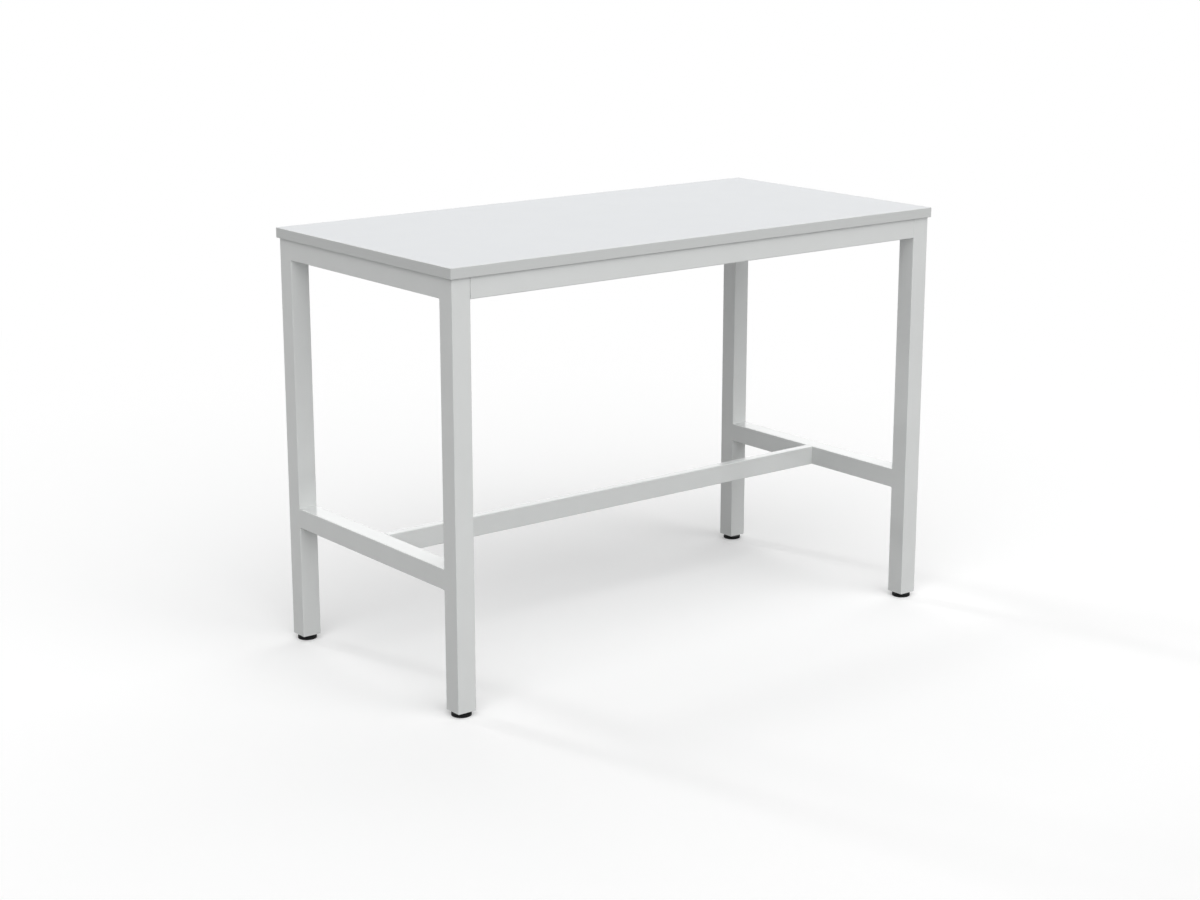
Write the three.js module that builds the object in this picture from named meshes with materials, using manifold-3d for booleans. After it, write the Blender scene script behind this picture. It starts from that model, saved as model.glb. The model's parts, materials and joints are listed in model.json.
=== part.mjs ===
// Standing meeting table: a laminate-faced top on a steel tube frame with a footrest and screw feet.
// Two welded end frames are joined by two long rails and a footrest stretcher, each pushed over
// spigots on the end frames and held there by bolts through its side. The top is screwed down from
// below, through steel tabs.
// Millimetres. The origin is on the floor under the middle of the top: +X runs along the length to
// the right, +Y to the rear and +Z up.
import * as THREE from 'three';
import { mergeVertices } from 'three/addons/utils/BufferGeometryUtils.js';
import Module from 'manifold-3d';

const wasm = await Module();
wasm.setup();

// Whole table
const TABLE_LENGTH = 1500;
const TABLE_DEPTH = 750;
const TABLE_HEIGHT = 1050;

// Top: a faced board with glued edging on its four sides
const TOP_THICKNESS = 25;
const EDGING_THICKNESS = 2;
const EDGING_ARRIS = 1;
const GLUE_LINE = 0.1;

// Frame: square tube for legs, end rails and crossbars, flat tube for long rails and stretcher
const TOP_OVERHANG = 6;
const FRAME_TUBE = 50;
const RAIL_HEIGHT = 50;
const RAIL_DEPTH = 25;
const TUBE_WALL = 1.6;
const TUBE_CORNER = 2;
const TUBE_INSIDE_CORNER_LEAST = 0.2;
const FOOTREST_HEIGHT = 350;
const SEAT_GAP = 0.2;
const WELD_GAP = 0.2;
const JOINT_GAP = 0.5;

// Spigots, welded to the end frames, and the button-head bolts that hold the rails on them
const SPIGOT_LENGTH = 60;
const SPIGOT_WALL = 4;
const SPIGOT_SLIP = 0.5;
const BOLT_INSET = 30;
const BOLT_DIAMETER = 8;
const BOLT_LENGTH = 12;
const BOLT_HEAD_DIAMETER = 14;
const BOLT_HEAD_HEIGHT = 4.4;
const BOLT_SOCKET_ACROSS_FLATS = 5;
const BOLT_SOCKET_DEPTH = 2.6;
const HOLE_CLEARANCE = 0.4;

// Tabs, welded inside the rails, and the pan-head screws that hold the top down on them
const TAB_WIDTH = 40;
const TAB_REACH = 30;
const TAB_THICKNESS = 3;
const TAB_CORNER = 6;
const TAB_END_INSET = 190;
const SCREW_INSET = 18;
const SCREW_DIAMETER = 4.5;
const SCREW_COVER = 8;
const SCREW_POINT = 4;
const SCREW_HEAD_DIAMETER = 9;
const SCREW_HEAD_HEIGHT = 3;
const SCREW_CROSS_LENGTH = 4.5;
const SCREW_CROSS_WIDTH = 1.1;
const SCREW_CROSS_DEPTH = 1.6;

// Screw feet: a tapped plug in each leg, a stud with a spanner collar, and a pad that it turns in
const FOOT_TRAVEL = 15;
const PLUG_THICKNESS = 4;
const PLUG_CORNER = 1;
const BOSS_DIAMETER = 18;
const BOSS_HEIGHT = 16;
const STUD_DIAMETER = 10;
const STUD_CHAMFER = 1;
const COLLAR_ACROSS_FLATS = 17;
const COLLAR_HEIGHT = 4.4;
const BUTTON_DIAMETER = 14;
const BUTTON_HEIGHT = 2.2;
const PAD_DIAMETER = 48;
const PAD_HEIGHT = 7;
const PAD_FLOOR = 1.5;
const PAD_ROUND = 1;
const RUNNING_CLEARANCE = 0.3;

// Facets of round shapes, and how far a cut runs past the face it starts from
const ARC_STEPS = 2;
const FOOT_SIDES = 24;
const FASTENER_SIDES = 12;
const HEX_SIDES = 6;
const CUT_OVERRUN = 1;

// Levels, from the floor up
const collarBottom = PAD_HEIGHT + RUNNING_CLEARANCE;
const collarTop = collarBottom + COLLAR_HEIGHT;
const legBottom = collarTop + RUNNING_CLEARANCE;
const topUnderside = TABLE_HEIGHT - TOP_THICKNESS;
const frameTop = topUnderside - SEAT_GAP;

// Places, from the middle of the table out
const frameHalfLength = TABLE_LENGTH / 2 - TOP_OVERHANG;
const frameHalfDepth = TABLE_DEPTH / 2 - TOP_OVERHANG;
const legX = frameHalfLength - FRAME_TUBE / 2;
const legY = frameHalfDepth - FRAME_TUBE / 2;
const railY = frameHalfDepth - RAIL_DEPTH / 2;
const endFrameInside = frameHalfLength - FRAME_TUBE;
const railEnd = endFrameInside - JOINT_GAP;
const railZ = frameTop - RAIL_HEIGHT / 2;
const stretcherZ = FOOTREST_HEIGHT - RAIL_HEIGHT / 2;

// The two ends and the two long sides, by the sign of X or Y
const ENDS = [['left', -1], ['right', 1]];
const SIDES = [['front', -1], ['rear', 1]];
const TAB_STEPS = [-1, 0, 1];

const QUARTER = Math.PI / 2;

const laminate = new THREE.MeshStandardMaterial({ color: '#e6e8e9', roughness: 0.4 });
const edging = new THREE.MeshStandardMaterial({ color: '#e4e6e6', roughness: 0.45 });
const powderCoat = new THREE.MeshStandardMaterial({ color: '#f1f3f3', roughness: 0.5 });
const zincSteel = new THREE.MeshStandardMaterial({ color: '#b9bcc0', roughness: 0.35, metalness: 1 });
const blackNylon = new THREE.MeshStandardMaterial({ color: '#17181a', roughness: 0.55 });

// Solid of a closed geometry, for cutting and joining
function solidOf(geometry) {
  const bare = geometry.clone();
  bare.deleteAttribute('normal');
  bare.deleteAttribute('uv');
  const merged = mergeVertices(bare);
  const corners = merged.index.array;
  const triangles = [];
  for (let i = 0; i < corners.length; i += 3) {
    const triangle = corners.slice(i, i + 3);
    const isFlat = new Set(triangle).size < 3;
    if (!isFlat) triangles.push(...triangle);
  }
  return new wasm.Manifold(new wasm.Mesh({
    numProp: 3,
    vertProperties: merged.attributes.position.array,
    triVerts: Uint32Array.from(triangles),
  }));
}

function geometryOf(solid) {
  const { vertProperties, triVerts } = solid.getMesh();
  const geometry = new THREE.BufferGeometry();
  geometry.setAttribute('position', new THREE.BufferAttribute(vertProperties, 3));
  geometry.setIndex(new THREE.BufferAttribute(triVerts, 1));
  geometry.computeVertexNormals();
  return geometry;
}

function cut(geometry, ...cutters) {
  return geometryOf(cutters.reduce((left, cutter) => left.subtract(solidOf(cutter)), solidOf(geometry)));
}

function join(geometry, ...others) {
  return geometryOf(others.reduce((sum, other) => sum.add(solidOf(other)), solidOf(geometry)));
}

// Traces a rounded rectangle about the origin on a shape or a hole
function roundedRectangle(path, width, height, radius) {
  const x = width / 2 - radius;
  const y = height / 2 - radius;
  path.absarc(x, -y, radius, -QUARTER, 0);
  path.absarc(x, y, radius, 0, QUARTER);
  path.absarc(-x, y, radius, QUARTER, 2 * QUARTER);
  path.absarc(-x, -y, radius, 2 * QUARTER, 3 * QUARTER);
  return path;
}

function extrude(shape, depth) {
  return new THREE.ExtrudeGeometry(shape, { depth, bevelEnabled: false, curveSegments: ARC_STEPS });
}

// Open-ended tube standing on the origin along Z, its section width along X and height along Y
function tube(width, height, wall, corner, length) {
  const shape = roundedRectangle(new THREE.Shape(), width, height, corner);
  const insideCorner = Math.max(corner - wall, TUBE_INSIDE_CORNER_LEAST);
  shape.holes.push(roundedRectangle(new THREE.Path(), width - 2 * wall, height - 2 * wall, insideCorner));
  return extrude(shape, length);
}

// Square frame tube
function frameTube(length) {
  return tube(FRAME_TUBE, FRAME_TUBE, TUBE_WALL, TUBE_CORNER, length);
}

// Upright post about Z between two levels; the corners of its facets lie on its radius
function post(radius, sides, bottom, top) {
  const geometry = new THREE.CylinderGeometry(radius, radius, top - bottom, sides);
  return geometry.rotateX(QUARTER).translate(0, 0, (bottom + top) / 2);
}

// Post that cuts a hole between two levels, running out past both
function drill(radius, sides, bottom, top) {
  return post(radius, sides, bottom - CUT_OVERRUN, top + CUT_OVERRUN);
}

function hexagon(acrossFlats, bottom, top) {
  return post(acrossFlats / 2 / Math.cos(Math.PI / HEX_SIDES), HEX_SIDES, bottom, top);
}

// Turned piece about Z; the profile is a list of [radius, height]
function turned(profile, sides) {
  const points = profile.map(([radius, height]) => new THREE.Vector2(radius, height));
  return new THREE.LatheGeometry(points, sides).rotateX(QUARTER);
}

// Quarter arc of a profile about [radius, height], from one angle to a quarter turn on
function quarterArc(radius, height, wide, high, start) {
  const steps = Array.from({ length: ARC_STEPS + 1 }, (_, i) => start + QUARTER * i / ARC_STEPS);
  return steps.map((angle) => [radius + wide * Math.cos(angle), height + high * Math.sin(angle)]);
}

// Domed head, its crown at the bottom, with a shank above it
function headAndShank(headDiameter, headHeight, shankProfile) {
  const crown = quarterArc(0, headHeight, headDiameter / 2, headHeight, -QUARTER);
  crown[0][0] = 0;
  return turned([...crown, ...shankProfile], FASTENER_SIDES);
}

// Button-head bolt: the underside of its head is at the origin and its shank runs up
function bolt() {
  const radius = BOLT_DIAMETER / 2;
  const shankTop = BOLT_HEAD_HEIGHT + BOLT_LENGTH;
  const shank = [[radius, BOLT_HEAD_HEIGHT], [radius, shankTop], [0, shankTop]];
  const blank = headAndShank(BOLT_HEAD_DIAMETER, BOLT_HEAD_HEIGHT, shank);
  const socket = hexagon(BOLT_SOCKET_ACROSS_FLATS, -CUT_OVERRUN, BOLT_SOCKET_DEPTH);
  return cut(blank, socket).translate(0, 0, -BOLT_HEAD_HEIGHT);
}

// Length of the top screws under their heads, and how far their points stand in the board
const screwBite = TOP_THICKNESS - SCREW_COVER;
const screwLength = TAB_THICKNESS + SEAT_GAP + screwBite;

// Pan-head screw: the underside of its head is at the origin and its point is up
function topScrew() {
  const radius = SCREW_DIAMETER / 2;
  const tip = SCREW_HEAD_HEIGHT + screwLength;
  const shank = [[radius, SCREW_HEAD_HEIGHT], [radius, tip - SCREW_POINT], [0, tip]];
  const blank = headAndShank(SCREW_HEAD_DIAMETER, SCREW_HEAD_HEIGHT, shank);
  const slot = new THREE.BoxGeometry(SCREW_CROSS_LENGTH, SCREW_CROSS_WIDTH, 2 * SCREW_CROSS_DEPTH);
  const crossSlot = slot.clone().rotateZ(QUARTER);
  return cut(blank, slot, crossSlot).translate(0, 0, -SCREW_HEAD_HEIGHT);
}

// Tab lying on the XY plane, welded along the X axis and reaching along +Y
function fixingTab() {
  const x = TAB_WIDTH / 2;
  const shape = new THREE.Shape();
  shape.moveTo(-x, WELD_GAP);
  shape.lineTo(x, WELD_GAP);
  shape.absarc(x - TAB_CORNER, TAB_REACH - TAB_CORNER, TAB_CORNER, 0, QUARTER);
  shape.absarc(-x + TAB_CORNER, TAB_REACH - TAB_CORNER, TAB_CORNER, QUARTER, 2 * QUARTER);
  const hole = drill(SCREW_DIAMETER / 2 + HOLE_CLEARANCE, FASTENER_SIDES, 0, TAB_THICKNESS);
  return cut(extrude(shape, TAB_THICKNESS), hole.translate(0, SCREW_INSET, 0));
}

// Drill along Y through a wall that ends at a face, on the side of the origin given by a sign
function sideDrill(radius, face, wall, side) {
  return drill(radius, FASTENER_SIDES, face - wall, face).rotateX(-side * QUARTER);
}

// Flat tube along X about the origin, with a bolt hole through one side wall near each end
function flatRail(length, side) {
  const rail = tube(RAIL_HEIGHT, RAIL_DEPTH, TUBE_WALL, TUBE_CORNER, length);
  rail.translate(0, 0, -length / 2).rotateY(QUARTER);
  const hole = sideDrill(BOLT_DIAMETER / 2 + HOLE_CLEARANCE, RAIL_DEPTH / 2, TUBE_WALL, side);
  const boltX = length / 2 - BOLT_INSET;
  return cut(rail, hole.clone().translate(-boltX, 0, 0), hole.clone().translate(boltX, 0, 0));
}

const spigotHeight = RAIL_HEIGHT - 2 * (TUBE_WALL + SPIGOT_SLIP);
const spigotDepth = RAIL_DEPTH - 2 * (TUBE_WALL + SPIGOT_SLIP);

// Box-section spigot reaching along +X from its welded end, with a tapped hole in one side wall
function spigot(side) {
  const length = SPIGOT_LENGTH - WELD_GAP;
  const box = tube(spigotHeight, spigotDepth, SPIGOT_WALL, TUBE_CORNER, length);
  box.rotateY(QUARTER).translate(WELD_GAP, 0, 0);
  const hole = sideDrill(BOLT_DIAMETER / 2 + RUNNING_CLEARANCE, spigotDepth / 2, SPIGOT_WALL, side);
  return cut(box, hole.translate(JOINT_GAP + BOLT_INSET, 0, 0));
}

// Tapped plug for the bottom of a leg: a plate flush with the tube's end and a boss inside it
function footPlug() {
  const side = FRAME_TUBE - 2 * (TUBE_WALL + WELD_GAP);
  const plate = extrude(roundedRectangle(new THREE.Shape(), side, side, PLUG_CORNER), PLUG_THICKNESS);
  const top = PLUG_THICKNESS + BOSS_HEIGHT;
  const boss = post(BOSS_DIAMETER / 2, FOOT_SIDES, PLUG_THICKNESS / 2, top);
  return cut(join(plate, boss), drill(STUD_DIAMETER / 2 + RUNNING_CLEARANCE, FOOT_SIDES, 0, top));
}

// Foot stud standing on the floor of its pad: button, neck, spanner collar and thread.
// At full travel the thread still fills the plug.
function footStud() {
  const radius = STUD_DIAMETER / 2;
  const buttonBottom = PAD_FLOOR + RUNNING_CLEARANCE;
  const buttonTop = buttonBottom + BUTTON_HEIGHT;
  const top = collarTop + PLUG_THICKNESS + BOSS_HEIGHT + FOOT_TRAVEL;
  const stem = turned([
    [0, buttonBottom],
    [BUTTON_DIAMETER / 2, buttonBottom],
    [BUTTON_DIAMETER / 2, buttonTop],
    [radius, buttonTop],
    [radius, top - STUD_CHAMFER],
    [radius - STUD_CHAMFER, top],
    [0, top],
  ], FOOT_SIDES);
  return join(stem, hexagon(COLLAR_ACROSS_FLATS, collarBottom, collarTop));
}

// Round foot pad with a snap socket that holds the stud's button under a lip
function footPad() {
  const radius = PAD_DIAMETER / 2;
  const lipRadius = STUD_DIAMETER / 2 + RUNNING_CLEARANCE;
  const socketRadius = BUTTON_DIAMETER / 2 + RUNNING_CLEARANCE;
  const socketTop = PAD_FLOOR + BUTTON_HEIGHT + 2 * RUNNING_CLEARANCE;
  return turned([
    [0, 0],
    ...quarterArc(radius - PAD_ROUND, PAD_ROUND, PAD_ROUND, PAD_ROUND, -QUARTER),
    ...quarterArc(radius - PAD_ROUND, PAD_HEIGHT - PAD_ROUND, PAD_ROUND, PAD_ROUND, 0),
    [lipRadius, PAD_HEIGHT],
    [lipRadius, socketTop],
    [socketRadius, socketTop],
    [socketRadius, PAD_FLOOR],
    [0, PAD_FLOOR],
  ], FOOT_SIDES);
}

// Strip of edging along X about the origin, its outer face towards -Y with rounded arrises
function edgeBand(length) {
  const out = -EDGING_THICKNESS;
  const high = TOP_THICKNESS / 2;
  const shape = new THREE.Shape();
  shape.moveTo(0, high);
  shape.absarc(out + EDGING_ARRIS, high - EDGING_ARRIS, EDGING_ARRIS, QUARTER, 2 * QUARTER);
  shape.absarc(out + EDGING_ARRIS, -high + EDGING_ARRIS, EDGING_ARRIS, 2 * QUARTER, 3 * QUARTER);
  shape.lineTo(0, -high);
  const strip = extrude(shape, length).translate(0, 0, -length / 2);
  return strip.rotateX(QUARTER).rotateZ(QUARTER);
}

function place(parent, name, geometry, material, x, y, z) {
  const mesh = new THREE.Mesh(geometry, material);
  mesh.name = name;
  mesh.position.set(x, y, z);
  parent.add(mesh);
  return mesh;
}

const table = new THREE.Group();

// Places of the fixing tabs on the frame's inside faces, and the turn that points each one inwards
const tabs = [];
for (const [side, sign] of SIDES) {
  for (const [index, step] of TAB_STEPS.entries()) {
    tabs.push({
      name: `${side}_${index + 1}`,
      x: step * (railEnd - TAB_END_INSET),
      y: sign * (frameHalfDepth - RAIL_DEPTH),
      turn: sign < 0 ? 0 : 2 * QUARTER,
    });
  }
}
for (const [end, sign] of ENDS) {
  tabs.push({ name: end, x: sign * endFrameInside, y: 0, turn: sign * QUARTER });
}

// Top: the board with a pilot hole over each tab, and its edging
const pilotRadius = SCREW_DIAMETER / 2 + RUNNING_CLEARANCE;
const pilots = tabs.map(({ x, y, turn }) => {
  const hole = post(pilotRadius, FASTENER_SIDES, -CUT_OVERRUN, screwBite + RUNNING_CLEARANCE);
  hole.translate(0, SCREW_INSET, 0).rotateZ(turn);
  return hole.translate(x, y, -TOP_THICKNESS / 2);
});
const boardInset = 2 * (EDGING_THICKNESS + GLUE_LINE);
const board = new THREE.BoxGeometry(TABLE_LENGTH - boardInset, TABLE_DEPTH - boardInset, TOP_THICKNESS);
const worktop = new THREE.Group();
worktop.position.z = topUnderside + TOP_THICKNESS / 2;
table.add(worktop);
place(worktop, 'tabletop_board', cut(board, ...pilots), laminate, 0, 0, 0);
const sideBandY = TABLE_DEPTH / 2 - EDGING_THICKNESS;
const endBandX = TABLE_LENGTH / 2 - EDGING_THICKNESS;
for (const [side, sign] of SIDES) {
  const band = place(worktop, `edge_band_${side}`, edgeBand(TABLE_LENGTH), edging, 0, sign * sideBandY, 0);
  band.rotation.z = sign < 0 ? 0 : 2 * QUARTER;
}
for (const [end, sign] of ENDS) {
  const length = TABLE_DEPTH - boardInset;
  const band = place(worktop, `edge_band_${end}`, edgeBand(length), edging, sign * endBandX, 0, 0);
  band.rotation.z = sign * QUARTER;
}

// Tabs, flush with the top of the frame, and their screws
for (const { name, x, y, turn } of tabs) {
  const fixing = new THREE.Group();
  fixing.position.set(x, y, frameTop - TAB_THICKNESS);
  fixing.rotation.z = turn;
  table.add(fixing);
  place(fixing, `fixing_tab_${name}`, fixingTab(), powderCoat, 0, 0, 0);
  place(fixing, `top_screw_${name}`, topScrew(), zincSteel, 0, SCREW_INSET, -SEAT_GAP);
}

// End frames: two legs with an end rail and a crossbar welded between them, and a foot in each leg
for (const [end, endSign] of ENDS) {
  const endFrame = new THREE.Group();
  endFrame.position.x = endSign * legX;
  table.add(endFrame);
  const between = 2 * (legY - FRAME_TUBE / 2 - WELD_GAP);
  const crossTube = frameTube(between).translate(0, 0, -between / 2).rotateX(QUARTER);
  place(endFrame, `end_rail_${end}`, crossTube, powderCoat, 0, 0, frameTop - FRAME_TUBE / 2);
  place(endFrame, `crossbar_${end}`, crossTube, powderCoat, 0, 0, FOOTREST_HEIGHT - FRAME_TUBE / 2);
  for (const [side, sideSign] of SIDES) {
    const corner = `${side}_${end}`;
    const legAxis = new THREE.Group();
    legAxis.position.y = sideSign * legY;
    endFrame.add(legAxis);
    place(legAxis, `leg_${corner}`, frameTube(frameTop - legBottom), powderCoat, 0, 0, legBottom);
    place(legAxis, `foot_plug_${corner}`, footPlug(), powderCoat, 0, 0, legBottom);
    place(legAxis, `foot_stud_${corner}`, footStud(), zincSteel, 0, 0, 0);
    place(legAxis, `foot_pad_${corner}`, footPad(), blackNylon, 0, 0, 0);
  }
}

// Long rails and the footrest stretcher, each over a spigot at both ends with a bolt through its side:
// the rails are bolted from inside the frame, the stretcher from the rear
const bars = SIDES.map(([side, sign]) => (
  { name: side, bar: `long_rail_${side}`, y: sign * railY, z: railZ, boltSide: -sign }
));
bars.push({ name: 'footrest', bar: 'footrest_stretcher', y: 0, z: stretcherZ, boltSide: 1 });
const boltSeat = RAIL_DEPTH / 2 + SEAT_GAP;
for (const { name, bar, y, z, boltSide } of bars) {
  place(table, bar, flatRail(2 * railEnd, boltSide), powderCoat, 0, y, z);
  for (const [end, sign] of ENDS) {
    const pegX = sign * endFrameInside;
    const peg = place(table, `spigot_${name}_${end}`, spigot(-sign * boltSide), powderCoat, pegX, y, z);
    peg.rotation.z = sign < 0 ? 0 : 2 * QUARTER;
    const boltX = sign * (railEnd - BOLT_INSET);
    const boltY = y + boltSide * boltSeat;
    const fixing = place(table, `bolt_${name}_${end}`, bolt(), zincSteel, boltX, boltY, z);
    fixing.rotation.x = boltSide * QUARTER;
  }
}

export default table;
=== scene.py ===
"""Looks of a standing meeting table, built round its construction model.

The file is laid out as an add-on: settings, an operator for each group of like pieces and one for
the stage, and a panel that lists them. All sizes are in metres, in the construction model's frame:
the origin is on the floor under the middle of the top, +X runs along the length, +Y to the rear
and +Z up.
"""
import json
import math

import bmesh
import bpy
from bpy.props import FloatProperty, FloatVectorProperty, PointerProperty
from bpy.types import Operator, Panel, PropertyGroup
from mathutils import Matrix, Vector

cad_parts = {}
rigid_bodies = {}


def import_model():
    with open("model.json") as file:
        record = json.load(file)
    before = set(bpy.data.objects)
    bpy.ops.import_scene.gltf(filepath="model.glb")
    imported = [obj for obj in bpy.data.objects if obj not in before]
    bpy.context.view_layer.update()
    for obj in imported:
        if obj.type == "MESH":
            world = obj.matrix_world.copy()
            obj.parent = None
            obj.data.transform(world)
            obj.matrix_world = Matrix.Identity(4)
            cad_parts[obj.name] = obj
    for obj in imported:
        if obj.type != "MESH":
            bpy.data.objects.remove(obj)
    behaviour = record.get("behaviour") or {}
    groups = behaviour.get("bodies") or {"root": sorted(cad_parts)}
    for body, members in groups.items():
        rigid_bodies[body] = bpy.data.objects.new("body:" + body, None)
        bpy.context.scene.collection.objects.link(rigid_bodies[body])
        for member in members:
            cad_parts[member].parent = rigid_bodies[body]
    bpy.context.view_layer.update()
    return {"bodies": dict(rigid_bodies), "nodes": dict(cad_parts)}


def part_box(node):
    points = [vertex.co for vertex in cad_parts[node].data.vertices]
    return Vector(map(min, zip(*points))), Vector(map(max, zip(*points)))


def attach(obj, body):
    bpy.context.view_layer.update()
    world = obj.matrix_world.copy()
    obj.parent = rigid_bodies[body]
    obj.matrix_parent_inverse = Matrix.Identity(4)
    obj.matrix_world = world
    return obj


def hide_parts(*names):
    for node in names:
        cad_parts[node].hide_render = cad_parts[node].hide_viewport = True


bl_info = {
    "name": "Standing meeting table",
    "version": (1, 0, 0),
    "blender": (4, 5, 0),
    "location": "3D View > Sidebar > Table",
    "description": "Dresses a bar-height table: a faced top, a welded tube frame and screw feet",
    "category": "Object",
}

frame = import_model()

MM = 0.001
TURN = 2 * math.pi
QUARTER = TURN / 4

# Names that the pieces share
SIDES = ("front", "rear")
ENDS = ("left", "right")
CORNERS = [f"{side}_{end}" for side in SIDES for end in ENDS]
LONG_BARS = {"front": "long_rail_front", "rear": "long_rail_rear", "footrest": "footrest_stretcher"}
TABS = [f"{side}_{number}" for side in SIDES for number in (1, 2, 3)] + list(ENDS)
TAB_TURNS = {"front": 0, "rear": 2 * QUARTER, "left": -QUARTER, "right": QUARTER}
LAMPS = ("key", "rim", "back")

# Facets of round shapes
CORNER_STEPS = 6
ARRIS_STEPS = 5
EASING_STEPS = 2
DOME_STEPS = 10
WELD_STEPS = 8
RIPPLE_STEPS = 6
EDGE_STEPS = 4
CROSS_STEPS = 4
THREAD_ROWS = 6
FASTENER_SIDES = 48
PAD_SIDES = 96
HEX_SIDES = 6
SQUARE_CORNERS = ((1, 1), (-1, 1), (-1, -1), (1, -1))

# Thread form: depth as a share of the pitch, steepness of the flanks and width of the root
THREAD_DEPTH = 0.61
THREAD_FLANK = 1.4
THREAD_ROOT = 0.25

# How a weld bead starts and ends: its size there, and the share of its length that it grows over
BEAD_START = 0.35
BEAD_GROWTH = 0.125

# Angles past which an edge stays crisp or counts as square, and up to which it counts as flat
SMOOTH_ANGLE = math.radians(38)
SQUARE_ANGLE = math.radians(60)
FLAT_ANGLE = math.radians(0.5)

# Chamfer of the spanner collars, bevel profile of a true round, and a distance that counts as none
CHAMFER_ANGLE = math.radians(30)
ROUND_PROFILE = 0.5
SAME_PLACE = 1e-6

# Sockets that share a name, so that they go by their place: of sums, colour mixes and shader mixes
FIRST = 0
SECOND = 1
FROM_COLOUR = 6
TO_COLOUR = 7
MIXED_COLOUR = 2
FROM_SHADER = 1
TO_SHADER = 2

# Half the side of the floor, and how far it lies under the pads
FLOOR_HALF = 40
FLOOR_GAP = 0.3 * MM


def linear(hex_colour):
    """Linear RGBA of an sRGB hex value."""
    shares = [int(hex_colour[i:i + 2], 16) / 255 for i in (1, 3, 5)]
    return [s / 12.92 if s <= 0.04045 else ((s + 0.055) / 1.055) ** 2.4 for s in shares] + [1.0]


WHITE = linear("#ffffff")


def length(name, description, millimetres):
    """Setting for a length."""
    return FloatProperty(name=name, description=description, default=millimetres * MM, min=0,
                         precision=5, unit="LENGTH")


def angle(name, description, degrees):
    """Setting for an angle."""
    return FloatProperty(name=name, description=description, default=math.radians(degrees),
                         subtype="ANGLE")


def strength(name, description, value):
    """Setting for the strength of a light."""
    return FloatProperty(name=name, description=description, default=value, min=0)


def colour(name, description, hex_colour):
    """Setting for a colour."""
    return FloatVectorProperty(name=name, description=description, default=linear(hex_colour),
                               size=4, min=0, max=1, subtype="COLOR")


# Settings

class WorktopSettings(PropertyGroup):
    board_easing: length("Board easing", "Hairline easing of the board's edges at the glue line", 0.15)
    arris: length("Arris", "Radius that the edging's outer edges are trimmed to", 1)
    edging_easing: length("Edging easing", "Easing of the edging's other edges", 0.12)


class FrameSettings(PropertyGroup):
    tube_corner: length("Tube corner", "Outside corner radius of the tubes", 2)
    tube_bore_corner: length("Tube bore corner", "Inside corner radius of the tubes", 0.4)
    tube_wall: length("Tube wall", "Wall thickness of the tubes", 1.6)
    cut_easing: length("Cut easing", "Deburred edge at a tube's cut ends", 0.3)
    weld_leg: length("Weld leg", "Leg length of the fillet welds", 2)
    weld_crown: length("Weld crown", "How far a fillet weld bulges", 0.2)
    weld_lap: length("Weld lap", "How far the toes of a weld sink into the tubes", 0.05)
    weld_root: length("Weld root", "How deep a weld reaches into its joint", 1)
    weld_ripple: length("Weld ripple", "Spacing of the ripples along a weld", 1.8)
    weld_ripple_height: length("Weld ripple height", "Height of the ripples along a weld", 0.09)
    ground_width: length("Ground seam width", "Width of the ground seam on a crossing tube", 0.9)
    ground_recess: length("Ground seam recess", "How far a ground seam lies below the tubes", 0.04)


class FixingSettings(PropertyGroup):
    hairline: length("Hairline", "Easing of the fasteners' turned edges", 0.1)
    bolt_diameter: length("Bolt", "Diameter of the bolts' threads", 8)
    bolt_pitch: length("Bolt pitch", "Pitch of the bolts' threads", 1.25)
    bolt_point: length("Bolt point", "Chamfer at the bolts' ends", 0.8)
    bolt_room: length("Bolt room", "Radial room of a bolt in its hole", 0.4)
    bolt_head: length("Bolt head", "Height of the bolts' button heads", 4.4)
    bolt_rim: length("Bolt rim", "Height of the straight rim of a button head", 0.6)
    bolt_flat: length("Bolt flat", "Diameter of the flat round a bolt's socket", 7.2)
    bolt_socket: length("Bolt socket", "Width across the flats of the bolts' sockets", 5)
    bolt_socket_depth: length("Bolt socket depth", "Depth of the bolts' sockets", 2.6)
    bolt_socket_lead: length("Bolt socket lead", "Depth of the chamfer at a socket's mouth", 0.35)
    bolt_socket_cone: length("Bolt socket cone", "Depth of the drilled cone under a socket", 0.8)
    spigot_easing: length("Spigot easing", "Easing of the spigots' edges", 0.3)
    tab_corner: length("Tab corner", "Corner radius of the fixing tabs", 6)
    tab_hole: length("Tab hole", "Diameter of the hole in a fixing tab", 5.3)
    tab_easing: length("Tab easing", "Easing of the fixing tabs' edges", 0.4)
    tab_bead_inset: length("Tab bead inset", "From the side of a tab to the end of its weld", 4)
    screw_inset: length("Screw inset", "From a tab's welded edge to its screw", 17.8)
    screw_diameter: length("Screw", "Diameter of the screws' threads", 4.5)
    screw_core: length("Screw core", "Diameter of the screws between threads", 2.9)
    screw_pitch: length("Screw pitch", "Pitch of the screws' threads", 2)
    screw_point: length("Screw point", "Length of the screws' points", 4)
    screw_head: length("Screw head", "Height of the screws' pan heads", 3)
    screw_rim: length("Screw rim", "Height of the straight rim of a pan head", 0.5)
    screw_flat: length("Screw flat", "Diameter of the flat round a screw's recess", 5.1)
    cross_length: length("Cross length", "Length of the screws' cross recess", 4.5)
    cross_width: length("Cross width", "Width of the screws' cross recess", 1.1)
    cross_depth: length("Cross depth", "Depth of the screws' cross recess", 1.6)


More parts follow.
